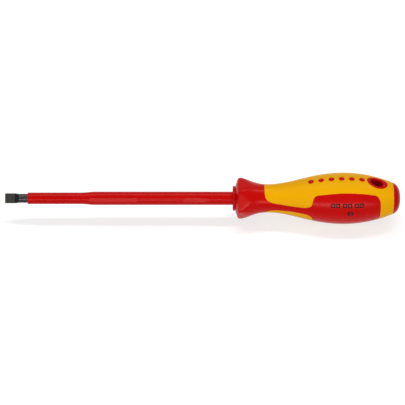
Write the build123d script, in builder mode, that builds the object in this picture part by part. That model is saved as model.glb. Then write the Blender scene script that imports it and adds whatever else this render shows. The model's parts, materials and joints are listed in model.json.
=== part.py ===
"""Insulated screwdriver for slotted screws: 1.2 x 6.5 mm tip, 262 mm overall.

Origin at the middle of the tip's end face, +X along the axis to the tail, +Z along the hanging hole.
Millimetres. The steel blade wears a moulded sleeve. The handle is a hard core, a hard second shot and
a soft grip moulded over both, closed by a tail cap.
"""

import os
from math import cos, radians, sin

from build123d import *

# ---- driving lengths
blade_length = 151.0  # tip to the handle's front face
handle_length = 111.0

# ---- blade
tip_width = 6.6
tip_thick = 1.2
tip_flat = 6.4  # length of the parallel ground tip
tip_edge = 0.15  # broken corner of the tip
tip_roll = 49.5  # the tip's flats, degrees from upright
runout_r = 3.0  # radius that leads out of the tip's flats
shank_r = 3.0
shank_depth = 57.0  # how far the bar reaches into the handle
wing_depth = 37.0  # flattened wings that lock the bar in the core
wing_length = 12.0
wing_thick = 2.0

# ---- insulating sleeve
bare_length = 15.0  # steel left bare at the tip
slim_wall = 0.86
thick_wall = 1.45
slim_end = 49.5
taper_length = 11.5
sleeve_depth = 15.0  # how far the sleeve reaches into the handle
sleeve_shoulder = 0.25  # step that stops the sleeve at the handle's front face
mark_cut = 0.26  # depth of the two flats that carry the marks
mark_end = 21.0  # flats stop this far in front of the handle
mark_fade = 6.0
mark_roll = 67.0  # degrees from upright

# ---- handle: stations behind its front face
nose_length = 1.8
nose_groove = 0.35
rim_depth = 5.3  # fattest point of the collar
window_depth = 20.9  # soft collar ends, hard second shot begins
waist_depth = 23.0
flare_depth = 52.4  # strap opens into the palm panel
belly_depth = 73.5

# ---- handle: stations in front of its tail
hole_inset = 15.8  # hanging hole
panel_inset = 13.8
cap_length = 4.9

# ---- handle: radii and half widths
nose_r = 8.3
collar_front_r = 8.6
rim_r = 14.1
waist_r = 9.4
belly_r = 17.05
seam_r = 10.48
flat_cut = 1.85  # depth of the collar's six anti-roll flats
strap_half = 2.4
panel_below = 3.8  # from the belly's top down to the palm panel's upper edge

# ---- handle: walls
core_wall = 2.15  # core outside the sleeve
belly_wall = 7.55  # second shot and grip outside the core, at the belly
core_tail_r = 7.0
bed_waist = 1.8  # depth of the soft grip's bed
bed_belly = 2.4
bore_r = 3.5
mouth_flare = (1.7, 0.3)  # the oval mouth beyond the bore, along and across
mouth_depth = 3.0
boss_wall = (1.75, 1.6)  # the hole's oval surround beyond its mouth
stud_count = 6
stud_pitch = 6.7
stud_r = 1.95
stud_gap = 1.4  # from the last stud to the hole's surround
spigot_r = 4.0
spigot_length = 4.4
slip_fit = 0.05  # spigot in its socket
mould_fit = 0.0  # shots are moulded onto each other

# ---- worked out
overall = blade_length + handle_length
slim_r = shank_r + slim_wall
thick_r = shank_r + thick_wall
seat_r = thick_r - sleeve_shoulder
core_waist_r = thick_r + core_wall
core_belly_r = belly_r - belly_wall
panel_half = belly_r - panel_below
nose_back = blade_length + nose_length
rim_at = blade_length + rim_depth
window_at = blade_length + window_depth
waist_at = blade_length + waist_depth
flare_at = blade_length + flare_depth
belly_at = blade_length + belly_depth
hole_at = overall - hole_inset
panel_end = overall - panel_inset
cap_seam = overall - cap_length
wing_at = blade_length + wing_depth
sleeve_end = blade_length + sleeve_depth
shank_end = blade_length + shank_depth
mark_flat_end = blade_length - mark_end
mouth = (bore_r + mouth_flare[0], bore_r + mouth_flare[1])
boss = (mouth[0] + boss_wall[0], mouth[1] + boss_wall[1])
mouth_top = belly_r - 2.65
reach = rim_r + belly_r  # further out than anything on the handle
wing_size = (wing_length, wing_thick, 2 * core_waist_r - 2.8)


def across(degrees):
    """Plane through the axis that shows a feature rolled from upright edge-on: local y is its normal."""
    roll = radians(degrees)
    return Plane(origin=(0, 0, 0), x_dir=(1, 0, 0), z_dir=(0, -cos(roll), -sin(roll)))


def belly_curves(waist, belly, seam):
    """The long swell from the waist over the belly to the cap seam."""
    rise, fall = belly_at - waist_at, cap_seam - belly_at
    Bezier((waist_at, waist), (waist_at + 0.33 * rise, waist), (belly_at - 0.44 * rise, belly),
           (belly_at, belly))
    Bezier((belly_at, belly), (belly_at + 0.24 * fall, belly), (cap_seam - 0.4 * fall, seam + 0.165 * fall),
           (cap_seam, seam))
    Polyline((cap_seam, seam), (cap_seam, 0), (nose_back, 0))


def handle_body():
    """The handle's turned outside from the collar to the cap seam, with the collar's flats."""
    flank_at, flank_r = rim_at + 1.4, rim_r - 0.36
    with BuildPart() as body:
        with BuildSketch(Plane.XZ):
            with BuildLine():
                Polyline((nose_back, 0), (nose_back, collar_front_r), (nose_back + 1.4, rim_r - 1.7))
                Bezier((nose_back + 1.4, rim_r - 1.7), (nose_back + 1.9, rim_r - 0.35), (rim_at - 1, rim_r),
                       (rim_at, rim_r))
                Bezier((rim_at, rim_r), (rim_at + 0.7, rim_r), (flank_at - 0.4, flank_r + 0.16),
                       (flank_at, flank_r))
                Bezier((flank_at, flank_r), (flank_at + 5.3, flank_r - 2.14), (waist_at - 6.8, waist_r),
                       (waist_at, waist_r))
                belly_curves(waist_r, belly_r, seam_r)
            make_face()
        revolve(axis=Axis.X)
        with BuildSketch(Plane.YZ.offset(nose_back)):
            Circle(rim_r + 1)
            RegularPolygon(rim_r - flat_cut, 6, major_radius=False, mode=Mode.SUBTRACT)
        extrude(amount=window_at - nose_back - 4, mode=Mode.SUBTRACT)
    return body.part


def grip_bed():
    """What lies under the soft grip: the core's stem, then the turned outside sunk by the bed's depth."""
    waist = waist_r - bed_waist
    with BuildPart() as body:
        with BuildSketch(Plane.XZ):
            with BuildLine():
                Polyline((nose_back, 0), (nose_back, core_waist_r), (window_at, core_waist_r),
                         (window_at, waist), (waist_at, waist))
                belly_curves(waist, belly_r - bed_belly, seam_r - bed_belly)
            make_face()
        revolve(axis=Axis.X)
    return body.part


def grip_outline():
    """Outline of the soft shot seen along Y: collar, strap and palm panel, both halves."""
    strap_at, strap_end = window_at + 10, flare_at - 5.4
    rise, fall = belly_at - flare_at - 3.8, panel_end - 3.9 - belly_at
    with BuildSketch() as outline:
        with BuildLine():
            Polyline((nose_back, 0), (nose_back, reach), (window_at, reach), (window_at, waist_r + 0.2))
            Bezier((window_at, waist_r + 0.2), (window_at, strap_half + 2.6),
                   (window_at + 2.6, strap_half + 0.6), (strap_at, strap_half + 0.35))
            ThreePointArc((strap_at, strap_half + 0.35), ((strap_at + strap_end) / 2, strap_half),
                          (strap_end, strap_half + 0.4))
            Bezier((strap_end, strap_half + 0.4), (flare_at - 1.9, strap_half + 0.9),
                   (flare_at - 0.4, strap_half + 2.2), (flare_at, strap_half + 5.2))
            Bezier((flare_at, strap_half + 5.2), (flare_at + 0.3, panel_half - 3.45),
                   (flare_at + 1.6, panel_half - 2.35), (flare_at + 3.8, panel_half - 1.95))
            Bezier((flare_at + 3.8, panel_half - 1.95), (flare_at + 3.8 + 0.33 * rise, panel_half - 0.95),
                   (belly_at - 0.38 * rise, panel_half), (belly_at, panel_half))
            Bezier((belly_at, panel_half), (belly_at + 0.38 * fall, panel_half),
                   (belly_at + 0.73 * fall, panel_half - 1.05), (panel_end - 3.9, panel_half - 2.45))
            Bezier((panel_end - 3.9, panel_half - 2.45), (panel_end - 1.2, panel_half - 3.25),
                   (panel_end, panel_half - 5.75), (panel_end, panel_half - 9.25))
            Polyline((panel_end, panel_half - 9.25), (panel_end, 0), (nose_back, 0))
        make_face()
        mirror(about=Plane.XZ)
    return outline.sketch


def grip_body():
    """Soft shot: the turned outside within the outline, down to the bed."""
    with BuildPart() as body:
        add(handle_body())
        with BuildSketch(Plane.XZ):
            add(grip_outline())
        extrude(amount=reach, both=True, mode=Mode.INTERSECT)
        add(grip_bed(), mode=Mode.SUBTRACT)
    return body.part


def core_posts():
    """What the first shot pushes out to the surface: the hole's surround and two rows of studs."""
    last_stud = hole_at - boss[0] - stud_r - stud_gap
    with BuildPart() as posts:
        with BuildSketch(Plane.XY):
            with Locations((hole_at, 0)):
                Ellipse(*boss)
        extrude(amount=reach, both=True)
        for side in (1, -1):
            with BuildSketch(Plane.XY.offset(side * (core_waist_r - 1))):
                with Locations(*((last_stud - i * stud_pitch, 0) for i in range(stud_count))):
                    Circle(stud_r)
            extrude(amount=side * reach)
        add(handle_body(), mode=Mode.INTERSECT)
        add(grip_body(), mode=Mode.SUBTRACT)
    return posts.part


def core_body():
    """The hard first shot before its bores: nose disc, stem and posts."""
    neck_r = nose_r - 0.4
    with BuildPart() as body:
        with BuildSketch(Plane.XZ):
            with BuildLine():
                Polyline((blade_length, 0), (blade_length, neck_r), (blade_length + 0.5, nose_r),
                         (nose_back - nose_groove, nose_r), (nose_back - nose_groove, neck_r),
                         (nose_back, neck_r), (nose_back, core_waist_r), (wing_at, core_waist_r))
                Bezier((wing_at, core_waist_r), (wing_at + 8, core_waist_r),
                       (wing_at + 10, core_belly_r), (wing_at + 18, core_belly_r))
                Polyline((wing_at + 18, core_belly_r), (panel_end, core_belly_r), (cap_seam, core_tail_r),
                         (cap_seam, 0), (blade_length, 0))
            make_face()
        revolve(axis=Axis.X)
        add(core_posts())
    return body.part


def hole_cutter():
    """Straight bore through the handle with a flared oval mouth at each side."""
    with BuildPart() as cutter:
        with Locations((hole_at, 0, 0)):
            Cylinder(bore_r, 2 * (mouth_top - mouth_depth))
        for side in (1, -1):
            with BuildSketch(Plane.XY.offset(side * (mouth_top - mouth_depth))):
                with Locations((hole_at, 0)):
                    Circle(bore_r)
            with BuildSketch(Plane.XY.offset(side * mouth_top)):
                with Locations((hole_at, 0)):
                    Ellipse(*mouth)
            loft()
            with BuildSketch(Plane.XY.offset(side * mouth_top)):
                with Locations((hole_at, 0)):
                    Ellipse(*mouth)
            extrude(amount=side * mouth_depth)
    return cutter.part


# ---- blade: round bar, ground tip, two wings that lock in the core
with BuildPart() as blade:
    half, swell = tip_width / 2, tip_flat + 0.3
    bar_from = tip_flat + runout_r + 0.4
    with BuildSketch(Plane.XZ):
        with BuildLine():
            Polyline((0, 0), (0, half - tip_edge), (tip_edge, half), (swell, half))
            Bezier((swell, half), (swell + 1, half), (swell + 1.5, shank_r), (bar_from, shank_r))
            Polyline((bar_from, shank_r), (shank_end, shank_r), (shank_end, 0), (0, 0))
        make_face()
    revolve(axis=Axis.X)
    with BuildSketch(across(tip_roll)):
        for side in (1, -1):
            face, top = side * tip_thick / 2, side * (tip_thick / 2 + runout_r)
            with BuildLine():
                Polyline((-1, 3 * top), (-1, face), (tip_flat, face))
                RadiusArc((tip_flat, face), (tip_flat + runout_r, top), side * runout_r)
                Polyline((tip_flat + runout_r, top), (tip_flat + runout_r, 3 * top), (-1, 3 * top))
            make_face()
    extrude(amount=tip_width, both=True, mode=Mode.SUBTRACT)
    with Locations((wing_at, 0, 0)):
        Box(*wing_size)

# ---- sleeve: moulded on the bar, stepped up to the thick rear, flats for marks, ends inside the core
with BuildPart() as blade_insulation:
    bore = shank_r + mould_fit
    with BuildSketch(Plane.XZ):
        with BuildLine():
            Polyline((bare_length, bore), (bare_length, slim_r - 0.3), (bare_length + 0.5, slim_r),
                     (slim_end, slim_r))
            Bezier((slim_end, slim_r), (slim_end + 0.45 * taper_length, slim_r),
                   (slim_end + 0.5 * taper_length, thick_r), (slim_end + taper_length, thick_r))
            Polyline((slim_end + taper_length, thick_r), (blade_length, thick_r), (blade_length, seat_r),
                     (sleeve_end, seat_r), (sleeve_end, bore), (bare_length, bore))
        make_face()
    revolve(axis=Axis.X)
    with BuildSketch(across(mark_roll)):
        for side in (1, -1):
            flat, proud = side * (thick_r - mark_cut), side * (thick_r + 0.04)
            fade_end = mark_flat_end + mark_fade
            with BuildLine():
                Polyline((slim_end, 2 * proud), (slim_end, flat), (mark_flat_end, flat))
                ThreePointArc((mark_flat_end, flat), (fade_end - mark_fade / 2, flat + (proud - flat) / 4),
                              (fade_end, proud))
                Polyline((fade_end, proud), (fade_end, 2 * proud), (slim_end, 2 * proud))
            make_face()
    extrude(amount=thick_r, both=True, mode=Mode.SUBTRACT)

# ---- core: first shot, moulded round the sleeve's end and the blade's wings
with BuildPart() as handle_core:
    add(core_body())
    add(hole_cutter(), mode=Mode.SUBTRACT)
    with Locations(((blade_length + sleeve_end) / 2, 0, 0)):
        Cylinder(seat_r + mould_fit, sleeve_depth, rotation=(0, 90, 0), mode=Mode.SUBTRACT)
    with Locations(((sleeve_end + shank_end) / 2, 0, 0)):
        Cylinder(shank_r + mould_fit, shank_end - sleeve_end, rotation=(0, 90, 0), mode=Mode.SUBTRACT)
    with Locations((wing_at, 0, 0)):
        Box(*wing_size, mode=Mode.SUBTRACT)
    with Locations((cap_seam - spigot_length / 2, 0, 0)):
        Cylinder(spigot_r + slip_fit, spigot_length + slip_fit, rotation=(0, 90, 0), mode=Mode.SUBTRACT)

# ---- soft grip: collar, two straps and two palm panels in one moulding
with BuildPart() as soft_grip:
    add(grip_body())

# ---- hard second shot: everything the core and the grip leave of the turned outside
with BuildPart() as handle_shell:
    add(handle_body())
    with Locations(((nose_back + window_at) / 2, 0, 0)):
        Cylinder(reach, window_at - nose_back, rotation=(0, 90, 0), mode=Mode.SUBTRACT)
    add(grip_body(), mode=Mode.SUBTRACT)
    add(core_body(), mode=Mode.SUBTRACT)

# ---- tail cap: shallow dome with a spigot in the core
with BuildPart() as end_cap:
    with BuildSketch(Plane.XZ):
        with BuildLine():
            Polyline((cap_seam - spigot_length, 0), (cap_seam - spigot_length, spigot_r),
                     (cap_seam, spigot_r), (cap_seam, seam_r))
            Bezier((cap_seam, seam_r), (overall - 0.1, 0.835 * seam_r), (overall, 0.3 * seam_r), (overall, 0))
            Line((overall, 0), (cap_seam - spigot_length, 0))
        make_face()
    revolve(axis=Axis.X)

pieces = {
    "blade": blade,
    "blade_insulation": blade_insulation,
    "handle_core": handle_core,
    "soft_grip": soft_grip,
    "handle_shell": handle_shell,
    "end_cap": end_cap,
}
os.makedirs("parts", exist_ok=True)
for name, piece in pieces.items():
    piece.part.label = name
    export_step(piece.part, f"parts/{name}.step")
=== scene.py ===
# %% [markdown]
# # Insulated screwdriver
# A slotted screwdriver for electricians: a dark steel blade in a red moulded sleeve, and a handle of
# two hard shots, red and yellow, with a soft red grip moulded over them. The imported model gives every
# place and size. Here each piece gets the surface that a mould or a grinder leaves on it.
# Lengths are written in millimetres and turned into metres when a mesh is made.

import json
import math

import bmesh
import bpy
import numpy as np
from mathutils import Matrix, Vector


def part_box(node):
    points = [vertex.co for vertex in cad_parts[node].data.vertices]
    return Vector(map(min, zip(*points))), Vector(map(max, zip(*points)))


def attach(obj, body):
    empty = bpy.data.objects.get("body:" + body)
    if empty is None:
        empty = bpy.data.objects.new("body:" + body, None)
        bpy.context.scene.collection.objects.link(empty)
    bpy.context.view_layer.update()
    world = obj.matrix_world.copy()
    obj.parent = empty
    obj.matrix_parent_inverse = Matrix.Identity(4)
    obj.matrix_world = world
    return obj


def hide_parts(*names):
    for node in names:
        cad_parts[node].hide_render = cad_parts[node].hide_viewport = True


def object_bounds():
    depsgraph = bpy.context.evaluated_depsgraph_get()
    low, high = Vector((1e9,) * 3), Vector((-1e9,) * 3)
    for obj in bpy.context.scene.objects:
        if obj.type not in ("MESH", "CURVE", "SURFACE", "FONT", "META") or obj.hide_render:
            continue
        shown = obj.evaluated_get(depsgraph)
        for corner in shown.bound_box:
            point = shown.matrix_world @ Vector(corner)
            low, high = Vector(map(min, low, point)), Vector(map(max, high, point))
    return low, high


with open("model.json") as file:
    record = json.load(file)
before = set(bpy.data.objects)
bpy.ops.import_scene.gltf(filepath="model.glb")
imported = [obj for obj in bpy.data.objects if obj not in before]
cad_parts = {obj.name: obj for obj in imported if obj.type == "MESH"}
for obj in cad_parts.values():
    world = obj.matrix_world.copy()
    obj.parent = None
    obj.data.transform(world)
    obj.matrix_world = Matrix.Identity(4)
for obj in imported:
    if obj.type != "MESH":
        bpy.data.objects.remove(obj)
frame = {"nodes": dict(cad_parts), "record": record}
cad_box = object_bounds()
mounts = {mount["name"]: mount for mount in frame["record"]["mounts"]}
MM = 0.001
HAIR = 0.002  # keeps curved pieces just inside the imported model's box
print("nodes", sorted(frame["nodes"]))

# %% [markdown]
# ## Stations and radii
# The pieces share a few planes across the axis, such as the cap seam, and a few radii. Most are read
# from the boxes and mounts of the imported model, so that a new size there moves the pieces here too.
# What neither gives, such as the waist, is written here once.


# %% Read the shared sizes
def low(node, axis):
    """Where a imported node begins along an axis, in millimetres."""
    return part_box(node)[0][axis] / MM


def high(node, axis):
    """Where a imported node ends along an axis, in millimetres."""
    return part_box(node)[1][axis] / MM


nose_front, collar_front = low("handle_core", 0), low("soft_grip", 0)
window_at, panel_end = low("handle_shell", 0), high("soft_grip", 0)
cap_spigot = 4.4
cap_seam, tail_end = low("end_cap", 0) + cap_spigot, high("end_cap", 0)
sleeve_start = low("blade_insulation", 0)
belly_r = min(high("handle_shell", 2), high("soft_grip", 1)) - HAIR
seam_r, sleeve_r = high("end_cap", 2), high("blade_insulation", 2)
hole_at = mounts["hanging_hole"]["pos_m"][0] / MM
bore_r = mounts["hanging_hole"]["dims"]["r_mm"]
bore_half = mounts["hanging_hole"]["dims"]["length_mm"] / 2
slim_r = mounts["sleeve_front"]["dims"]["r_mm"]
tip_normal = Vector(mounts["tip_face"]["axis"]).normalized()
tip_roll = math.atan2(-tip_normal.y, tip_normal.z)
waist_at, belly_at = nose_front + 23.0, nose_front + 73.5
rim_at, rim_r, waist_r = nose_front + 5.3, 14.1, 9.4
stem_r = 6.6
print("handle from", round(nose_front, 2), "to", round(tail_end, 2), "belly radius", round(belly_r, 2))

# %% [markdown]
# ## Shared ways to make a mesh
# Most of this tool was turned, ground or moulded about one axis. A lathe ring covers the round pieces,
# and a ring with two flats covers the ground tip and the sleeve, because a flat is only a limit on how
# far the ring may reach along one direction.


# %% Mesh helpers
WELD = 2e-7  # metres; points closer than this are one point


def bezier(a, b, c, d, count=40):
    """Points along one cubic curve, without its last point."""
    t = np.linspace(0, 1, count, endpoint=False)[:, None]
    a, b, c, d = (np.array(p, float) for p in (a, b, c, d))
    return (1 - t) ** 3 * a + 3 * (1 - t) ** 2 * t * b + 3 * (1 - t) * t**2 * c + t**3 * d


def finish_mesh(name, mesh, finish, slot, node, crease=40.0):
    """Cleans a mesh, shades it smooth up to the crease angle and puts it on the tool."""
    bm = bmesh.new()
    bm.from_mesh(mesh)
    bmesh.ops.remove_doubles(bm, verts=bm.verts, dist=WELD)
    bmesh.ops.dissolve_degenerate(bm, dist=WELD / 2, edges=bm.edges)
    bmesh.ops.recalc_face_normals(bm, faces=bm.faces)
    open_edges = sum(1 for edge in bm.edges if len(edge.link_faces) != 2)
    for face in bm.faces:
        face.smooth = True
    bm.to_mesh(mesh)
    bm.free()
    mesh.set_sharp_from_angle(angle=math.radians(crease))
    mesh.materials.clear()
    mesh.materials.append(finish)
    piece = bpy.data.objects.new(name, mesh)
    bpy.context.scene.collection.objects.link(piece)
    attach(piece, "root")
    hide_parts(node)
    print(name, "faces", len(mesh.polygons), "open edges", open_edges)
    return piece


def piece_from(name, points, faces, *place, crease=40.0):
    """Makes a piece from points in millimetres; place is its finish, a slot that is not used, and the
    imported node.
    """
    mesh = bpy.data.meshes.new(name)
    mesh.from_pydata([(x * MM, y * MM, z * MM) for x, y, z in points], [], faces)
    return finish_mesh(name, mesh, *place, crease=crease)


def bridge(rings, closed=False):
    """Quads between rings of equal length; the first and last are capped, or joined if closed."""
    count, total = len(rings[0]), len(rings)
    faces = []
    for i in range(total if closed else total - 1):
        for j in range(count):
            k = (j + 1) % count
            n = (i + 1) % total
            faces.append((i * count + j, n * count + j, n * count + k, i * count + k))
    if not closed:
        faces.append(tuple(range(count)))
        faces.append(tuple((total - 1) * count + j for j in reversed(range(count))))
    return [p for ring in rings for p in ring], faces


def round_ring(x, radius, count=160):
    """A lathe ring, which starts at the front, on -Y."""
    turns = [2 * math.pi * j / count for j in range(count)]
    return [(x, -radius * math.cos(a), radius * math.sin(a)) for a in turns]


def flat_ring(x, radius, limit, roll, across=9, around=25):
    """A round ring cut by two flats at +-limit; a limit past the radius leaves it round."""
    limit = min(limit, radius)
    half = math.sqrt(max(radius**2 - limit**2, 0.0))
    corner = math.asin(limit / radius)
    ring = []
    for side in (1, -1):
        for j in range(across):
            u = math.sin(math.pi * (j / (across - 1) - 0.5))
            ring.append((side * half * u, side * limit))
        for j in range(1, around - 1):
            u = 0.5 - 0.5 * math.cos(math.pi * j / (around - 1))
            turn = corner - 2 * corner * u
            ring.append((side * radius * math.cos(turn), side * radius * math.sin(turn)))
    cos, sin = math.cos(roll), math.sin(roll)
    return [(x, -v * cos - n * sin, n * cos - v * sin) for v, n in ring]


# %% [markdown]
# ## Surface effects that several finishes share
# A moulded surface is never a perfect mirror: the tool steel was spark eroded, which leaves a fine
# grain, and the plastic's colour and gloss drift a little over a hand's width. Both effects are node
# groups, so each finish can use them at its own scale.


# %% Grain and drift groups
def new_group(name, inputs, outputs):
    """An empty shader group with number sockets, and its two end nodes."""
    group = bpy.data.node_groups.new(name, "ShaderNodeTree")
    for label, default in inputs:
        socket = group.interface.new_socket(label, in_out="INPUT", socket_type="NodeSocketFloat")
        socket.default_value = default
    for label in outputs:
        group.interface.new_socket(label, in_out="OUTPUT", socket_type="NodeSocketFloat")
    return group, group.nodes.new("NodeGroupInput"), group.nodes.new("NodeGroupOutput")


def moulded_grain():
    """Fine erosion grain: two noises of different size, as a height."""
    group, given, result = new_group("moulded_grain", [("Grain per metre", 2500.0)], ["Height"])
    place = group.nodes.new("ShaderNodeTexCoord")
    fine = group.nodes.new("ShaderNodeTexNoise")
    fine.inputs["Detail"].default_value = 3.0
    pits = group.nodes.new("ShaderNodeTexVoronoi")
    blend = group.nodes.new("ShaderNodeMath")
    blend.operation = "MULTIPLY_ADD"
    blend.inputs[1].default_value = 0.35
    join = group.links.new
    for texture in (fine, pits):
        join(place.outputs["Object"], texture.inputs["Vector"])
        join(given.outputs["Grain per metre"], texture.inputs["Scale"])
    join(pits.outputs["Distance"], blend.inputs[0])
    join(fine.outputs["Fac"], blend.inputs[2])
    join(blend.outputs[0], result.inputs["Height"])
    return group


def moulded_drift():
    """Slow drift over the surface, from 0 to 1, for colour and gloss."""
    group, given, result = new_group("moulded_drift", [("Patches per metre", 45.0)], ["Mask"])
    place = group.nodes.new("ShaderNodeTexCoord")
    slow = group.nodes.new("ShaderNodeTexNoise")
    slow.inputs["Detail"].default_value = 4.0
    slow.inputs["Roughness"].default_value = 0.6
    spread = group.nodes.new("ShaderNodeMapRange")
    spread.inputs["From Min"].default_value = 0.3
    spread.inputs["From Max"].default_value = 0.7
    join = group.links.new
    join(place.outputs["Object"], slow.inputs["Vector"])
    join(given.outputs["Patches per metre"], slow.inputs["Scale"])
    join(slow.outputs["Fac"], spread.inputs["Value"])
    join(spread.outputs["Result"], result.inputs["Mask"])
    return group


grain_group, drift_group = moulded_grain(), moulded_drift()
print("effects", grain_group.name, drift_group.name)

# %% [markdown]
# ## Plastics and rubber
# All five coloured finishes are dyed right through, so they differ in colour, gloss and grain only. The
# sleeve is the glossiest and the yellow shell the most matt. A satin skin over dyed plastic shows its
# highlights in the plastic's own hue, so each finish also says what colour it glints in.


# %% Moulded finishes
def moulded_finish(name, colour, shade, gloss, grain, depth, specular, glint=(1, 1, 1)):
    """A dyed plastic. Its colour drifts to shade, and its roughness drifts over gloss. Grain counts
    per metre, depth metres deep. Glint is the colour of its highlights."""
    finish = bpy.data.materials.new(name)
    finish.use_nodes = True
    nodes, join = finish.node_tree.nodes, finish.node_tree.links.new
    shader = nodes["Principled BSDF"]
    drift = nodes.new("ShaderNodeGroup")
    drift.node_tree = drift_group
    texture = nodes.new("ShaderNodeGroup")
    texture.node_tree = grain_group
    texture.inputs["Grain per metre"].default_value = grain
    tint = nodes.new("ShaderNodeMix")
    tint.data_type = "RGBA"
    tint.inputs["A"].default_value = (*colour, 1)
    tint.inputs["B"].default_value = (*shade, 1)
    rough = nodes.new("ShaderNodeMapRange")
    rough.inputs["To Min"].default_value, rough.inputs["To Max"].default_value = gloss
    bump = nodes.new("ShaderNodeBump")
    bump.inputs["Strength"].default_value = 1.0
    bump.inputs["Distance"].default_value = depth
    join(drift.outputs["Mask"], tint.inputs["Factor"])
    join(drift.outputs["Mask"], rough.inputs["Value"])
    join(texture.outputs["Height"], bump.inputs["Height"])
    join(tint.outputs["Result"], shader.inputs["Base Color"])
    join(rough.outputs["Result"], shader.inputs["Roughness"])
    join(bump.outputs["Normal"], shader.inputs["Normal"])
    shader.inputs["Specular IOR Level"].default_value = specular
    shader.inputs["Specular Tint"].default_value = (*glint, 1)
    finish.diffuse_color = (*colour, 1)
    return finish


RED_GLINT, YELLOW_GLINT = (1, 0.38, 0.36), (1, 0.7, 0.3)
sleeve_red = moulded_finish("sleeve red", (0.53, 0.0008, 0.0006), (0.50, 0.0006, 0.0005),
                            (0.2, 0.26), 2600, 3e-6, 0.16, RED_GLINT)
core_red = moulded_finish("core red", (0.54, 0.0008, 0.0006), (0.51, 0.0008, 0.0006),
                          (0.24, 0.3), 2600, 4e-6, 0.14, RED_GLINT)
grip_red = moulded_finish("soft grip red", (0.55, 0.0006, 0.0006), (0.52, 0.0006, 0.0005),
                          (0.25, 0.31), 2200, 5e-6, 0.2, RED_GLINT)
cap_red = moulded_finish("cap red", (0.53, 0.0008, 0.0006), (0.50, 0.0008, 0.0006),
                         (0.28, 0.36), 2600, 4e-6, 0.1, RED_GLINT)
shell_yellow = moulded_finish("shell yellow", (0.86, 0.415, 0.002), (0.84, 0.40, 0.0015),
                              (0.34, 0.42), 2400, 5e-6, 0.06, YELLOW_GLINT)
coloured = (sleeve_red, core_red, grip_red, cap_red, shell_yellow)
print("moulded finishes", [finish.name for finish in coloured])

# %% [markdown]
# ## Blued steel and printing ink
# The bare end of the blade is burnished almost black. The tip's faces were ground afterwards, square to
# the axis, so they carry fine cross marks and look a shade greyer than the bar. The grinding wheel's
# run-out behind them is painted darkest: painted shade, not a finish of the steel. A value on the mesh
# says which of the three each point is.


# %% Steel and ink
def burnished_steel():
    """Reads the 'ground' value: 1 on the tip's flats, 0.5 on the bar, near 0 for painted shade in the
    run-out.
    """
    finish = bpy.data.materials.new("burnished steel")
    finish.use_nodes = True
    nodes, join = finish.node_tree.nodes, finish.node_tree.links.new
    shader = nodes["Principled BSDF"]
    place = nodes.new("ShaderNodeTexCoord")
    stretch = nodes.new("ShaderNodeMapping")
    stretch.inputs["Scale"].default_value = (9000, 350, 350)
    marks = nodes.new("ShaderNodeTexNoise")
    marks.inputs["Scale"].default_value = 1.0
    marks.inputs["Detail"].default_value = 5.0
    ground = nodes.new("ShaderNodeAttribute")
    ground.attribute_name = "ground"
    shade = nodes.new("ShaderNodeValToRGB")
    # The first stop is painted shade: the run-out's near-black stands in for the dark it reflects.
    run_out_painted_shade, flats = shade.color_ramp.elements
    run_out_painted_shade.color = (0.012, 0.0118, 0.0118, 1)
    flats.color = (0.042, 0.041, 0.038, 1)
    bar = shade.color_ramp.elements.new(0.5)
    bar.color = (0.036, 0.0355, 0.035, 1)
    streak = nodes.new("ShaderNodeMapRange")
    streak.inputs["To Min"].default_value, streak.inputs["To Max"].default_value = 0.7, 1.3
    tint = nodes.new("ShaderNodeMix")
    tint.data_type = "RGBA"
    tint.blend_type = "MULTIPLY"
    tint.inputs["Factor"].default_value = 1.0
    rough = nodes.new("ShaderNodeMapRange")
    rough.inputs["To Min"].default_value, rough.inputs["To Max"].default_value = 0.26, 0.42
    bump = nodes.new("ShaderNodeBump")
    bump.inputs["Distance"].default_value = 4e-6
    join(place.outputs["Object"], stretch.inputs["Vector"])
    join(stretch.outputs["Vector"], marks.inputs["Vector"])
    for use in (streak.inputs["Value"], rough.inputs["Value"], bump.inputs["Height"]):
        join(marks.outputs["Fac"], use)
    join(ground.outputs["Fac"], shade.inputs["Fac"])
    join(shade.outputs["Color"], tint.inputs["A"])
    join(streak.outputs["Result"], tint.inputs["B"])
    join(tint.outputs["Result"], shader.inputs["Base Color"])
    join(rough.outputs["Result"], shader.inputs["Roughness"])
    join(bump.outputs["Normal"], shader.inputs["Normal"])
    shader.inputs["Metallic"].default_value = 1.0
    return finish


blade_steel = burnished_steel()
print_ink = moulded_finish("print ink", (0.006, 0.005, 0.005), (0.015, 0.01, 0.009),
                           (0.5, 0.6), 3000, 3e-6, 0.08)
print("steel and ink", blade_steel.name, print_ink.name)

# %% [markdown]
# ## Blade
# A round bar, forged a little wider at the end and ground to a parallel tip 1.2 mm thick. The grinding
# wheel leaves the flats on a radius, which cuts the round bar in a pointed curve. Rings with two flats
# make all of it: the flats' limit starts at half the tip's thickness and follows the wheel's radius.

# %% Make the blade
tip_half_width, tip_half_thick, tip_flat, wheel_r, bar_r = 3.3, 0.6, 6.4, 3.0, 3.0


def tip_radius(x):
    """Radius of the bar, which was forged wider at the tip."""
    swell = bezier((tip_flat + 0.3, tip_half_width), (tip_flat + 1.3, tip_half_width),
                   (tip_flat + 1.8, bar_r), (tip_flat + 3.4, bar_r))
    return np.interp(x, swell[:, 0], swell[:, 1])


def tip_limit(x):
    """How far out the ground flats let the bar reach: flat, then up the wheel's radius."""
    run = min(max(x - tip_flat, 0.0), wheel_r)
    return tip_half_thick + wheel_r - math.sqrt(wheel_r**2 - run**2)


def blade_rings():
    """Rings from the broken edge of the tip, closely spaced where the wheel ran out, to the bar's end."""
    stations = [0.06, 0.14, 0.5, 2, 4, 5.5, tip_flat]
    stations += list(tip_flat + wheel_r * np.sin(np.linspace(0.04, 1.0, 26) * math.pi / 2))
    stations += [10.2, 12, 14, 16, 40, high("blade", 0)]
    rings = [flat_ring(0, tip_half_width - 0.12, tip_half_thick - 0.06, tip_roll)]
    rings.append(flat_ring(0.03, tip_half_width - 0.05, tip_half_thick - 0.03, tip_roll))
    for x in stations:
        rings.append(flat_ring(x, tip_radius(x), tip_limit(x), tip_roll))
    return rings


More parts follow.
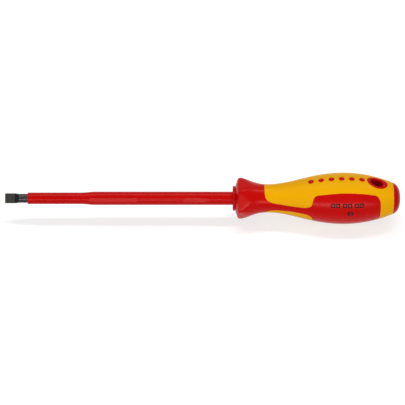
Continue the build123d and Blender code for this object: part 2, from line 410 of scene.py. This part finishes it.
def note_ground_and_shade(piece):
    """Writes 1 on the flats and 0.5 on the bar, as finished, and from 0 up in the run-out as painted
    shade.
    """
    near, run_out_shade_rise = 0.01, 0.12
    ground = piece.data.attributes.new("ground", "FLOAT", "POINT")
    for point, value in zip(piece.data.vertices, ground.data):
        x = point.co.x / MM
        height = abs(point.co.dot(tip_normal)) / MM
        limit = tip_limit(x)
        on_flat = limit < tip_radius(x) and abs(height - limit) < near
        value.value = 0.5
        if x <= tip_flat + near:
            value.value = 1.0
        elif on_flat:
            # Painted shade: the run-out starts darkest and rises towards the bar's colour.
            value.value = run_out_shade_rise * (x - tip_flat)


blade_bar = piece_from(
    "blade_bar", *bridge(blade_rings()), blade_steel, "blade_steel", "blade", crease=28)
note_ground_and_shade(blade_bar)

# %% [markdown]
# ## Sleeve
# The insulation is moulded on the bar: a slim front that follows the bar into a deep screw hole, a soft
# step up to the thick rear, and two narrow flats that carry raised marks. It is a tube of rings with two
# flats, with the bar's bore inside.

# %% Make the sleeve
taper_from, taper_to = 49.5, 61.0
mark_limit, mark_end, mark_fade, mark_rise = sleeve_r - 0.26, nose_front - 21.0, 6.0, 0.3
mark_roll = math.radians(67.0)
no_flat = 9.0  # a limit past any radius here, which leaves the ring round


def sleeve_profile():
    """Stations along the sleeve's outside, as (x, radius)."""
    front = [(sleeve_start, slim_r - 0.42), (sleeve_start + 0.08, slim_r - 0.2),
             (sleeve_start + 0.25, slim_r - 0.06), (sleeve_start + 0.5, slim_r),
             (sleeve_start + 1, slim_r)]
    slim = [(x, slim_r) for x in np.linspace(sleeve_start + 4, taper_from - 1, 12)]
    step = bezier((taper_from, slim_r), (taper_from + 5.2, slim_r), (taper_from + 5.7, sleeve_r),
                  (taper_to, sleeve_r), 44)
    rear = [(x, sleeve_r) for x in np.linspace(taper_to, mark_end - 1, 24)]
    fade = [(x, sleeve_r) for x in np.linspace(mark_end, mark_end + mark_fade, 18)]
    last = [(nose_front - 8, sleeve_r), (nose_front + 0.2, sleeve_r)]
    return front + slim + [tuple(p) for p in step] + rear + fade + last


def mark_depth(x):
    """How far out the marking flats let the sleeve reach; behind their end they fade out."""
    run = max(x - mark_end, 0.0) / mark_fade
    return mark_limit + mark_rise * run**2


def sleeve_rings():
    """The sleeve's outside between two rings of its bore, so that the tube can close."""
    rings = [flat_ring(sleeve_start, bar_r, no_flat, mark_roll)]
    rings += [flat_ring(x, r, mark_depth(x), mark_roll) for x, r in sleeve_profile()]
    rings.append(flat_ring(nose_front + 0.2, bar_r, no_flat, mark_roll))
    return rings


piece_from("sleeve_tube", *bridge(sleeve_rings(), closed=True), sleeve_red, "sleeve_plastic",
           "blade_insulation", crease=35)

# %% [markdown]
# ## Rows of bars and studs
# Raised marks on the sleeve, the strokes of the small print and red studs in the yellow all repeat at a
# pitch. One small tree makes a row of bars and another a row of studs. Their inputs are the count, the
# pitch, the size and the finish, so one tree serves both the marks and the print.


# %% Trees for the rows
def row_tree(name, round_studs):
    """A tree that repeats a bar, or a round stud, along X and gives it its finish."""
    tree = bpy.data.node_groups.new(name, "GeometryNodeTree")
    kinds = {"Count": "Int", "Pitch": "Float", "Size": "Vector", "Finish": "Material"}
    for label, kind in kinds.items():
        tree.interface.new_socket(label, in_out="INPUT", socket_type="NodeSocket" + kind)
    tree.interface.new_socket("Row", in_out="OUTPUT", socket_type="NodeSocketGeometry")
    given, result = tree.nodes.new("NodeGroupInput"), tree.nodes.new("NodeGroupOutput")
    step = tree.nodes.new("ShaderNodeCombineXYZ")
    line = tree.nodes.new("GeometryNodeMeshLine")
    copies = tree.nodes.new("GeometryNodeInstanceOnPoints")
    real = tree.nodes.new("GeometryNodeRealizeInstances")
    dress = tree.nodes.new("GeometryNodeSetMaterial")
    join = tree.links.new
    if round_studs:
        shape = tree.nodes.new("GeometryNodeMeshCylinder")
        shape.inputs["Vertices"].default_value = 40
        shape.inputs["Side Segments"].default_value = 2
        shape.inputs["Fill Segments"].default_value = 6
        parts = tree.nodes.new("ShaderNodeSeparateXYZ")
        join(given.outputs["Size"], parts.inputs[0])
        join(parts.outputs["X"], shape.inputs["Radius"])
        join(parts.outputs["Z"], shape.inputs["Depth"])
    else:
        shape = tree.nodes.new("GeometryNodeMeshCube")
        for label, count in (("Vertices X", 3), ("Vertices Y", 7), ("Vertices Z", 2)):
            shape.inputs[label].default_value = count
        join(given.outputs["Size"], shape.inputs["Size"])
    join(given.outputs["Pitch"], step.inputs["X"])
    join(given.outputs["Count"], line.inputs["Count"])
    join(step.outputs[0], line.inputs["Offset"])
    join(line.outputs["Mesh"], copies.inputs["Points"])
    join(shape.outputs["Mesh"], copies.inputs["Instance"])
    join(copies.outputs["Instances"], real.inputs["Geometry"])
    join(real.outputs["Geometry"], dress.inputs["Geometry"])
    join(given.outputs["Finish"], dress.inputs["Material"])
    join(dress.outputs["Geometry"], result.inputs["Row"])
    return tree


def grow_row(tree, count, pitch, size, finish):
    """Runs a row tree. Gives back its points, measured from the row's middle, and its faces."""
    holder = bpy.data.objects.new("row", bpy.data.meshes.new("row"))
    bpy.context.scene.collection.objects.link(holder)
    grower = holder.modifiers.new("row", "NODES")
    grower.node_group = tree
    given = {"Count": count, "Pitch": pitch, "Size": size, "Finish": finish}
    for item in tree.interface.items_tree:
        if item.in_out == "INPUT":
            grower[item.identifier] = given[item.name]
    seen = holder.evaluated_get(bpy.context.evaluated_depsgraph_get())
    mesh = bpy.data.meshes.new_from_object(seen)
    middle = pitch * (count - 1) / 2
    points = [(v.co.x - middle, v.co.y, v.co.z) for v in mesh.vertices]
    faces = [tuple(p.vertices) for p in mesh.polygons]
    bpy.data.objects.remove(holder)
    bpy.data.meshes.remove(mesh)
    return points, faces


bar_row, stud_row = row_tree("row of bars", False), row_tree("row of studs", True)
print("row trees", bar_row.name, stud_row.name)

# %% [markdown]
# ## Marks on the sleeve
# The flats carry a row of raised marks. Their tops follow the sleeve's round, so they never catch on the
# edge of a hole. The row is grown flat, crowned, and then laid on each flat.


# %% Make the marks
MARK_COUNT, MARK_PITCH, MARK_SIZE, MARK_MIDDLE = 16, 1.95, (1.5, 2.7, 0.3), 103.2
MARK_FOOT, MARK_UNDER = 0.15, 0.02  # sunk in the flat; below the sleeve's round


def lay_on_flat(points, middle_x, side):
    """Crowns a row to the sleeve's round and lays it on one flat."""
    cos, sin = math.cos(mark_roll), math.sin(mark_roll)
    laid = []
    for x, v, n in points:
        height = math.sqrt((sleeve_r - MARK_UNDER) ** 2 - v**2) if n > 0 else mark_limit - MARK_FOOT
        v, n = side * v, side * height
        laid.append((middle_x + x, -v * cos - n * sin, n * cos - v * sin))
    return laid


mark_points, mark_faces = grow_row(bar_row, MARK_COUNT, MARK_PITCH, MARK_SIZE, sleeve_red)
both = lay_on_flat(mark_points, MARK_MIDDLE, 1) + lay_on_flat(mark_points, MARK_MIDDLE, -1)
second = [tuple(i + len(mark_points) for i in face) for face in mark_faces]
piece_from("sleeve_marks", both, mark_faces + second, sleeve_red, "sleeve_plastic", "blade_insulation")

# %% [markdown]
# ## The handle's outside
# One turned outline runs from the collar's front over the waist and the belly to the cap seam. The
# collar is cut by six soft-edged flats that stop the tool rolling off a bench. Grip and shell both take
# their surface from here, so they meet flush.

# %% Turned outline with the collar's flats
flank_at, flank_r, flat_apothem = rim_at + 1.4, rim_r - 0.36, rim_r - 1.85
station_gap, edge_softness = 0.42, 1.1


def turned_outline():
    """Evenly spaced points from the collar's front to the cap seam, as an array of (x, radius)."""
    rise, fall = belly_at - waist_at, cap_seam - belly_at
    parts = [
        bezier((collar_front, 8.6), (collar_front, 8.9),
               (collar_front + 0.5, 10.2), (collar_front + 1.4, 12.4)),
        bezier((collar_front + 1.4, 12.4), (collar_front + 1.9, rim_r - 0.35),
               (rim_at - 1, rim_r), (rim_at, rim_r)),
        bezier((rim_at, rim_r), (rim_at + 0.7, rim_r),
               (flank_at - 0.4, flank_r + 0.16), (flank_at, flank_r)),
        bezier((flank_at, flank_r), (flank_at + 5.3, flank_r - 2.14),
               (waist_at - 6.8, waist_r), (waist_at, waist_r), 120),
        bezier((waist_at, waist_r), (waist_at + 0.33 * rise, waist_r),
               (belly_at - 0.44 * rise, belly_r), (belly_at, belly_r), 300),
        bezier((belly_at, belly_r), (belly_at + 0.24 * fall, belly_r),
               (cap_seam - 0.4 * fall, seam_r + 0.165 * fall), (cap_seam, seam_r), 200),
        np.array([(cap_seam, seam_r)]),
    ]
    line = np.vstack(parts)
    run = np.concatenate([[0], np.cumsum(np.hypot(*np.diff(line, axis=0).T))])
    even = np.linspace(0, run[-1], int(run[-1] / station_gap))
    return np.column_stack([np.interp(even, run, line[:, 0]), np.interp(even, run, line[:, 1])])


outline = turned_outline()


def outline_radius(x):
    """The turned outside's radius from the collar's rim to the cap seam."""
    rear = outline[:, 0] >= rim_at
    return np.interp(x, outline[rear, 0], outline[rear, 1])


def with_flats(x, radius, turn):
    """Radius after the collar's six flats, with their edges rounded off."""
    sector = turn % (math.pi / 3) - math.pi / 6
    wall = flat_apothem / np.cos(sector)
    blend = np.clip(0.5 + (wall - radius) / (2 * edge_softness), 0, 1)
    cut = wall + (radius - wall) * blend - edge_softness * blend * (1 - blend)
    return np.where(x < window_at - 4, np.minimum(cut, radius), radius)


print("outline stations", len(outline))

# %% [markdown]
# ## Where soft meets hard
# Seen from the side, the soft shot is the collar, a thin strap and a palm panel. Its edge is a chain of
# curves. For every point of the handle the distance to that edge says which shot it belongs to, and how
# much the rolled edge of the moulding drops there.

# %% Edge of the soft shot
strap_half, panel_half, flare_at = 2.4, 13.25, nose_front + 52.4
beyond = 30.0  # further out than anything on the handle


def grip_edge():
    """The upper edge seen along Y, from beyond the collar to the middle of the panel's rear end."""
    strap_at, strap_end = window_at + 10, flare_at - 5.4
    rise, fall = belly_at - flare_at - 3.8, panel_end - 3.9 - belly_at
    turn = np.linspace(0, 1, 30, endpoint=False)[:, None]
    strap = np.column_stack([strap_at + (strap_end - strap_at) * turn,
                             strap_half + 0.4 * (2 * turn - 1) ** 2 - 0.05 * (1 - turn) ** 2])
    parts = [
        np.array([(window_at, beyond), (window_at, 9.7)]),
        bezier((window_at, waist_r + 0.2), (window_at, strap_half + 2.6),
               (window_at + 2.6, strap_half + 0.6), (strap_at, strap_half + 0.35), 60),
        strap,
        bezier((strap_end, strap_half + 0.4), (flare_at - 1.9, strap_half + 0.9),
               (flare_at - 0.4, strap_half + 2.2), (flare_at, strap_half + 5.2), 60),
        bezier((flare_at, strap_half + 5.2), (flare_at + 0.3, panel_half - 3.45),
               (flare_at + 1.6, panel_half - 2.35), (flare_at + 3.8, panel_half - 1.95)),
        bezier((flare_at + 3.8, panel_half - 1.95), (flare_at + 3.8 + 0.33 * rise, panel_half - 0.95),
               (belly_at - 0.38 * rise, panel_half), (belly_at, panel_half)),
        bezier((belly_at, panel_half), (belly_at + 0.38 * fall, panel_half),
               (belly_at + 0.73 * fall, panel_half - 1.05), (panel_end - 3.9, panel_half - 2.45)),
        bezier((panel_end - 3.9, panel_half - 2.45), (panel_end - 1.2, panel_half - 3.25),
               (panel_end, panel_half - 5.75), (panel_end, panel_half - 9.25)),
        np.array([(panel_end, panel_half - 9.25), (panel_end, -1.0)]),
    ]
    return np.vstack(parts)


edge_line = grip_edge()


def edge_distance(x, z, lean):
    """Signed distance to the soft shot's edge, positive in it; lean stretches z onto the surface."""
    z = np.abs(z)
    best = np.full(x.shape, np.inf)
    for (ax, az), (bx, bz) in zip(edge_line[:-1], edge_line[1:]):
        dx, dz = bx - ax, bz - az
        along = np.clip(((x - ax) * dx + (z - az) * dz) / max(dx**2 + dz**2, 1e-12), 0, 1)
        gap = np.hypot(x - ax - along * dx, (z - az - along * dz) / lean)
        best = np.minimum(best, gap)
    ahead = edge_line[:, 0] > window_at
    top = np.interp(x, edge_line[ahead, 0], edge_line[ahead, 1], left=beyond, right=-1.0)
    inside = (x <= window_at) | ((z <= top) & (x <= panel_end))
    return np.where(inside, best, -best)


print("edge points", len(edge_line))

# %% [markdown]
# ## Cutting a surface along a line
# The handle's surface is a fine grid over the outline and the turn. Each cell that an edge crosses is
# split where it crosses, first at the edge and then at two levels beside it, so that the rolled edge has
# its own row of points. The cut sheet gets an inner skin and a wall, which closes it into a moulding.

# %% Grid, levels and moulding
TURNS = 240
LEVELS = (0.0, 0.12, 0.3)
ROLL_WIDTH, ROLL_DROP = 0.3, 0.14


def handle_grid():
    """Place along the axis, radius and turn of every point of the handle's surface."""
    turn = np.linspace(0, 2 * math.pi, TURNS, endpoint=False)
    x = np.repeat(outline[:, :1], TURNS, axis=1)
    radius = with_flats(x, np.repeat(outline[:, 1:], TURNS, axis=1), turn[None, :])
    return x, radius, np.repeat(turn[None, :], len(outline), axis=0)


grid_x, grid_radius, grid_turn = handle_grid()
grid_z = grid_radius * np.sin(grid_turn)
lean = np.clip(np.abs(np.cos(grid_turn)), 0.35, 1.0)
soft_distance = edge_distance(grid_x, grid_z, lean)


def split_cell(cell, level):
    """Splits a cell of (station, turn, distance) corners at a level into (parts above, parts below)."""
    above, below = [], []
    for here, after in zip(cell, cell[1:] + cell[:1]):
        (above if here[2] >= level else below).append(here)
        if (here[2] >= level) != (after[2] >= level):
            share = (level - here[2]) / (after[2] - here[2])
            cut = (here[0] + share * (after[0] - here[0]), here[1] + share * (after[1] - here[1]), level)
            above.append(cut)
            below.append(cut)
    return above, below


def cut_sheet(distance):
    """Cells of the handle's grid where distance is positive, as lists of corners."""
    cells = []
    for i in range(len(outline) - 1):
        row = distance[i : i + 2]
        if row.max() <= 0:
            continue
        for j in range(TURNS):
            k = (j + 1) % TURNS
            corners = [(i, j, distance[i, j]), (i + 1, j, distance[i + 1, j]),
                       (i + 1, j + 1, distance[i + 1, k]), (i, j + 1, distance[i, k])]
            values = [c[2] for c in corners]
            if max(values) <= 0:
                continue
            if min(values) >= LEVELS[-1]:
                cells.append(corners)
                continue
            rest, _ = split_cell(corners, LEVELS[0])
            for level in LEVELS[1:]:
                rest, near = split_cell(rest, level)
                if len(near) > 2:
                    cells.append(near)
                if len(rest) < 3:
                    break
            if len(rest) > 2:
                cells.append(rest)
    return cells


def moulding(cells, skin):
    """Closes a cut sheet: outside with rolled edges, inside at skin(x, radius), walls between."""
    index, stations, turns, drops, faces = {}, [], [], [], []
    for cell in cells:
        face = []
        for station, turn, distance in cell:
            key = (round(station, 5), round(turn % TURNS, 5))
            if key not in index:
                index[key] = len(stations)
                stations.append(station)
                turns.append(turn)
                near = min(max(distance, 0.0), ROLL_WIDTH) / ROLL_WIDTH
                drops.append(ROLL_DROP * (1 - near) ** 2)
            if not face or face[-1] != index[key]:
                face.append(index[key])
        if face[0] == face[-1]:
            face.pop()
        if len(face) > 2:
            faces.append(tuple(face))
    stations, turn = np.array(stations), np.array(turns) * 2 * math.pi / TURNS
    x = np.interp(stations, range(len(outline)), outline[:, 0])
    radius = with_flats(x, np.interp(stations, range(len(outline)), outline[:, 1]), turn)
    count = len(x)
    sides = {}
    for face in faces:
        for a, b in zip(face, face[1:] + face[:1]):
            sides[(a, b)] = True
    walls = [(b, a, a + count, b + count) for a, b in sides if (b, a) not in sides]
    inner = skin(x, radius)
    points = []
    for r in (radius - np.array(drops), inner):
        points += list(zip(x, -r * np.cos(turn), r * np.sin(turn)))
    return points, faces + [tuple(i + count for i in reversed(f)) for f in faces] + walls


# %% [markdown]
# ## Soft grip
# Collar, straps and panels are one moulding of soft rubber, about 2 mm deep over the hard shots and
# deeper under the collar, where it sits straight on the core's stem.


# %% Make the soft grip
def grip_skin(x, radius):
    """Inside of the soft shot: the stem under the collar, then a bed that deepens to the belly."""
    depth = np.interp(x, (window_at, belly_at), (1.8, 2.4))
    return np.where(x <= window_at + 1e-6, stem_r, outline_radius(x) - depth)


piece_from("soft_grip_moulding", *moulding(cut_sheet(soft_distance), grip_skin), grip_red, "grip_rubber",
           "soft_grip")

# %% [markdown]
# ## Hard yellow shell
# The second shot fills what the soft shot leaves: a long face above and below and a ring at the tail.
# It flows round the red studs and the red surround of the hanging hole, so those are cut out as well.

# %% Make the shell
stud_r, stud_pitch, stud_count, stud_gap = 1.95, 6.7, 6, 1.4
shell_wall = 3.0
mouth = (bore_r + 1.7, bore_r + 0.3)
boss = (mouth[0] + 1.75, mouth[1] + 1.6)
last_stud = hole_at - boss[0] - stud_r - stud_gap
stud_middle = last_stud - stud_pitch * (stud_count - 1) / 2


def red_distance(x, y):
    """Distance to the nearest red post that comes through the shell."""
    share = np.hypot((x - hole_at) / boss[0], y / boss[1])
    slope = np.hypot((x - hole_at) / boss[0] ** 2, y / boss[1] ** 2) / np.maximum(share, 1e-9)
    nearest = (share - 1) / np.maximum(slope, 1e-9)
    for i in range(stud_count):
        nearest = np.minimum(nearest, np.hypot(x - last_stud + i * stud_pitch, y) - stud_r)
    return nearest


grid_y = -grid_radius * np.cos(grid_turn)
shell_distance = np.minimum(-soft_distance, red_distance(grid_x, grid_y))
shell_distance = np.minimum(shell_distance, cap_seam - grid_x + 1e-4)


def shell_skin(x, radius):
    """Inside of the second shot."""
    return np.maximum(radius - shell_wall, stem_r)


piece_from("yellow_shell", *moulding(cut_sheet(shell_distance), shell_skin), shell_yellow,
           "shell_plastic", "handle_shell")

# %% [markdown]
# ## Nose, hole surround and studs
# The red core shows in three places. A disc closes the handle's front around the sleeve. An oval
# surround carries the hanging hole, whose mouth flares so that a hook slides in. Small studs come up
# flush through the yellow.


# %% Make the nose disc
def nose_rings():
    """Disc with a rounded front edge and a narrow groove before the collar."""
    back, rim = collar_front, 8.3
    line = [(nose_front, sleeve_r + 0.01), (nose_front, rim - 0.75), (nose_front + 0.05, rim - 0.55),
            (nose_front + 0.2, rim - 0.25), (nose_front + 0.42, rim - 0.07), (nose_front + 0.7, rim),
            (back - 0.5, rim), (back - 0.38, rim - 0.05), (back - 0.33, rim - 0.2),
            (back - 0.33, rim - 0.5), (back + 0.3, rim - 0.5), (back + 0.3, sleeve_r + 0.01)]
    return [round_ring(x, r) for x, r in line]


piece_from("core_nose", *bridge(nose_rings(), closed=True), core_red, "core_plastic", "handle_core",
           crease=50)


# %% Make the hole's surround
def oval_ring(half_x, half_y, drop, side, count=96):
    """A ring round the hole that follows the handle's outside, sunk by drop."""
    ring = []
    for j in range(count):
        turn = 2 * math.pi * j / count
        x, y = hole_at + half_x * math.cos(turn), half_y * math.sin(turn)
        z = math.sqrt(outline_radius(x) ** 2 - y**2) - drop
        ring.append((x, y, side * z))
    return ring


def surround_rings(side):
    """From the surround's edge over the lip and down the flare to the straight bore."""
    rings, lip_drop = [], 0.2
    for inset, drop in ((0, 0.14), (0.12, 0.05), (0.3, 0), (0.9, 0)):
        rings.append(oval_ring(boss[0] - inset, boss[1] - inset, drop, side))
    for grow, drop in ((0.45, 0), (0.22, 0.05), (0.06, 0.2)):
        rings.append(oval_ring(mouth[0] + grow, mouth[1] + grow, drop, side))
    for share in np.linspace(0.12, 1, 12):
        flare = (1 - share) ** 1.6
        half_x, half_y = (bore_r + (m - bore_r) * flare for m in mouth)
        rim = oval_ring(half_x, half_y, 0, side)
        down, lip = 1 - (1 - share) ** 1.3, side * lip_drop * (1 - share)
        rings.append([(x, y, z + (side * bore_half - z) * down - lip) for x, y, z in rim])
    return rings


surround = surround_rings(1) + list(reversed(surround_rings(-1)))
piece_from("hole_surround", *bridge(surround, closed=True), core_red, "core_plastic", "handle_core",
           crease=60)


# %% Make the studs
def lay_on_handle(points, middle_x, middle_turn):
    """Wraps a flat row on the handle: across the row becomes the way round."""
    laid = []
    for x, v, n in points:
        radius = float(outline_radius(middle_x + x))
        turn = middle_turn + v / radius
        laid.append((middle_x + x, -(radius + n) * math.cos(turn), (radius + n) * math.sin(turn)))
    return laid


stud_height, stud_crown = 1.0, 0.12


def crown_studs(points):
    """Sinks a row of studs flush with the surface and rounds their tops' edges."""
    half_row, half_pitch = stud_pitch / 2 * (stud_count - 1), stud_pitch / 2
    crowned = []
    for x, v, n in points:
        from_middle = math.hypot((x + half_row + half_pitch) % stud_pitch - half_pitch, v) / stud_r
        crown = stud_crown * from_middle**6 if n > 0 else 0
        crowned.append((x, v, n - stud_height / 2 - crown))
    return crowned


stud_size = (stud_r - 0.02, 0, stud_height)
stud_points, stud_faces = grow_row(stud_row, stud_count, stud_pitch, stud_size, core_red)
stud_points = crown_studs(stud_points)
stud_all, stud_cells = [], []
for side in (1, -1):
    stud_cells += [tuple(i + len(stud_all) for i in face) for face in stud_faces]
    stud_all += lay_on_handle(stud_points, stud_middle, side * math.pi / 2)
piece_from("core_studs", stud_all, stud_cells, core_red, "core_plastic", "handle_core", crease=50)

# %% [markdown]
# ## Tail cap
# A shallow dome with a rounded shoulder. The seam to the yellow ring shows as a fine groove.


# %% Make the tail cap
def cap_rings():
    """From under the seam's groove out over the dome to the middle of its end."""
    dome = bezier((cap_seam, seam_r), (tail_end - 0.1, 0.835 * seam_r), (tail_end, 0.3 * seam_r),
                  (tail_end, 0.0), 60)
    seam = [(cap_seam - 1.5, seam_r - 1.5), (cap_seam + 0.02, seam_r - 0.6),
            (cap_seam + 0.02, seam_r - 0.14), (cap_seam + 0.12, seam_r - 0.09)]
    line = seam + [tuple(p) for p in dome[2:]] + [(tail_end, 0.02)]
    return [round_ring(x, r) for x, r in line]


piece_from("tail_cap", *bridge(cap_rings()), cap_red, "cap_plastic", "end_cap", crease=50)

# %% [markdown]
# ## Printing on the grip
# Small print on the palm panel, kept generic: three pairs of hollow squares, each drawn with four bars,
# and a sign for a slotted screw, which is a ring with a bar in it. The ink stands a hundredth of a
# millimetre proud, and its foot is sunk in the rubber.


# %% Make the printing
GLYPH_COUNT, GLYPH_PITCH, GLYPH_CLOSER = 6, 3.9, 0.3
STROKE, STROKE_GAP = 0.7, 0.01  # the gap only keeps the meshes of two strokes apart
GLYPH_SIDE, GLYPH_END = 1.0, 1.1  # from a glyph's middle to its upright and its level strokes
GLYPH_HIGH, GLYPH_WIDE = 2 * GLYPH_END + STROKE, 2 * (GLYPH_SIDE - STROKE_GAP) - STROKE
INK, INK_TOP, INK_FOOT = 0.08, 0.01, -0.05
glyph_at, glyph_turn = belly_at + 1.4, math.radians(23.0)
sign_at, sign_turn = belly_at + 3.6, math.radians(2.5)


def ring_sign(radius, stroke, count=48):
    """A flat ring as a thin solid."""
    points, faces = [], []
    for n in (INK_FOOT, INK_TOP):
        for r in (radius - stroke, radius):
            points += [(r * math.cos(2 * math.pi * j / count), r * math.sin(2 * math.pi * j / count), n)
                       for j in range(count)]
    for j in range(count):
        k = (j + 1) % count
        inner_low, outer_low, inner_top, outer_top = (
            (j + s * count, k + s * count) for s in range(4))
        for a, b in ((inner_top, outer_top), (outer_top, outer_low), (outer_low, inner_low),
                     (inner_low, inner_top)):
            faces.append((a[0], b[0], b[1], a[1]))
    return points, faces


def paired(points):
    """Moves the glyphs of a row together in pairs."""
    moved = []
    for x, v, n in points:
        order = math.floor(x / GLYPH_PITCH + GLYPH_COUNT / 2)
        moved.append((x + (GLYPH_CLOSER if order % 2 == 0 else -GLYPH_CLOSER), v, n))
    return moved


def strokes(size, shifts):
    """One row of bars for each shift (along, across) from the glyphs' middles."""
    points, faces = grow_row(bar_row, GLYPH_COUNT, GLYPH_PITCH, size, print_ink)
    points = paired(points)
    return [([(x + along, v + across, n) for x, v, n in points], faces) for along, across in shifts]


glyphs = strokes((STROKE, GLYPH_HIGH, INK), ((-GLYPH_SIDE, 0), (GLYPH_SIDE, 0)))
glyphs += strokes((GLYPH_WIDE, STROKE, INK), ((0, -GLYPH_END), (0, GLYPH_END)))
slot = grow_row(bar_row, 1, 1.0, (3.0, 0.75, INK), print_ink)
prints = [(*glyph, glyph_at, glyph_turn) for glyph in glyphs]
prints += [(*mark, sign_at, sign_turn) for mark in (ring_sign(2.0, STROKE), slot)]
print_all, print_cells = [], []
for points, faces, middle, turn in prints:
    print_cells += [tuple(i + len(print_all) for i in face) for face in faces]
    sunk = [(x, v, INK_TOP if n > 0 else INK_FOOT) for x, v, n in points]
    print_all += lay_on_handle(sunk, middle, turn)
piece_from("grip_print", print_all, print_cells, print_ink, "grip_rubber", "soft_grip")

# %% [markdown]
# ## Studio
# A white floor under the tool, one long soft light above and a lower one in front. For the camera and
# in reflections the floor and the room are plain white, and a soft shadow stays on the floor.


# %% Floor and room
def seen_white(nodes, join):
    """One for rays that come from the camera, a reflection or glass, and nought for lighting."""
    path = nodes.new("ShaderNodeLightPath")
    seen = path.outputs["Is Camera Ray"]
    for kind in ("Is Glossy Ray", "Is Transmission Ray"):
        either = nodes.new("ShaderNodeMath")
        either.operation = "MAXIMUM"
        join(seen, either.inputs[0])
        join(path.outputs[kind], either.inputs[1])
        seen = either.outputs[0]
    return seen


def white_floor(grey, glow_level):
    """Paint that takes the shadow, with a glow on top that brings the lit floor up to white."""
    finish = bpy.data.materials.new("studio floor")
    finish.use_nodes = True
    nodes, join = finish.node_tree.nodes, finish.node_tree.links.new
    nodes.remove(nodes["Principled BSDF"])
    paint = nodes.new("ShaderNodeBsdfDiffuse")
    paint.inputs["Color"].default_value = (grey, grey, grey, 1)
    glow = nodes.new("ShaderNodeEmission")
    level = nodes.new("ShaderNodeMath")
    level.operation = "MULTIPLY"
    level.inputs[1].default_value = glow_level
    total = nodes.new("ShaderNodeAddShader")
    join(seen_white(nodes, join), level.inputs[0])
    join(level.outputs[0], glow.inputs["Strength"])
    join(paint.outputs[0], total.inputs[0])
    join(glow.outputs[0], total.inputs[1])
    join(total.outputs[0], nodes["Material Output"].inputs["Surface"])
    return finish


floor_mesh = bpy.data.meshes.new("floor")
reach, floor_z = 6.0, cad_box[0][2] - 0.0002
corners = [(-reach, -reach), (reach, -reach), (reach, reach), (-reach, reach)]
floor_mesh.from_pydata([(x, y, floor_z) for x, y in corners], [], [(0, 1, 2, 3)])
floor_mesh.materials.append(white_floor(0.45, 0.7))
floor = bpy.data.objects.new("floor", floor_mesh)
bpy.context.scene.collection.objects.link(floor)

world = bpy.data.worlds.new("white room")
bpy.context.scene.world = world
world.use_nodes = True
room, link = world.node_tree.nodes, world.node_tree.links.new
backdrop = room["Background"]
backdrop.inputs["Color"].default_value = (1, 1, 1, 1)
strength = room.new("ShaderNodeMapRange")
strength.inputs["To Min"].default_value = 0.3
strength.inputs["To Max"].default_value = 1.0
link(seen_white(room, link), strength.inputs["Value"])
link(strength.outputs["Result"], backdrop.inputs["Strength"])
print("floor at", round(floor_z, 4))


# %% Lamps and camera
def soft_lamp(name, elevation, distance, size, power):
    """A long soft box on an arc over the tool, its elevation counted up from the front."""
    data = bpy.data.lights.new(name, "AREA")
    data.shape = "RECTANGLE"
    data.size, data.size_y = size
    data.energy = power
    lamp = bpy.data.objects.new(name, data)
    middle = Vector((0.15, 0, 0))
    up = math.radians(elevation)
    lamp.location = middle + distance * Vector((0, -math.cos(up), math.sin(up)))
    lamp.rotation_euler = (middle - lamp.location).to_track_quat("-Z", "Y").to_euler()
    bpy.context.scene.collection.objects.link(lamp)


strip = (1.2, 0.10)
soft_lamp("top light", 103, 0.9, strip, 5.4)
soft_lamp("front light", 9.5, 1.0, strip, 6.6)

view_up, view_distance = math.radians(40.5), 1.2
picture_width, sensor_width, aim_below = 0.2688, 36.0, 0.0028
camera_data = bpy.data.cameras.new("camera")
camera_data.sensor_width = sensor_width
camera_data.lens = sensor_width * view_distance / picture_width
camera_data.clip_end = 50
camera = bpy.data.objects.new("camera", camera_data)
back = Vector((0, -math.cos(view_up), math.sin(view_up)))
picture_top = Vector((0, math.sin(view_up), math.cos(view_up)))
aim = Vector((tail_end * MM / 2, 0, 0)) - aim_below * picture_top
camera.location = aim + view_distance * back
camera.rotation_euler = (math.pi / 2 - view_up, 0, 0)
bpy.context.scene.collection.objects.link(camera)
bpy.context.scene.camera = camera
bpy.context.scene.view_settings.view_transform = "Standard"
print("camera", [round(v, 3) for v in camera.location])
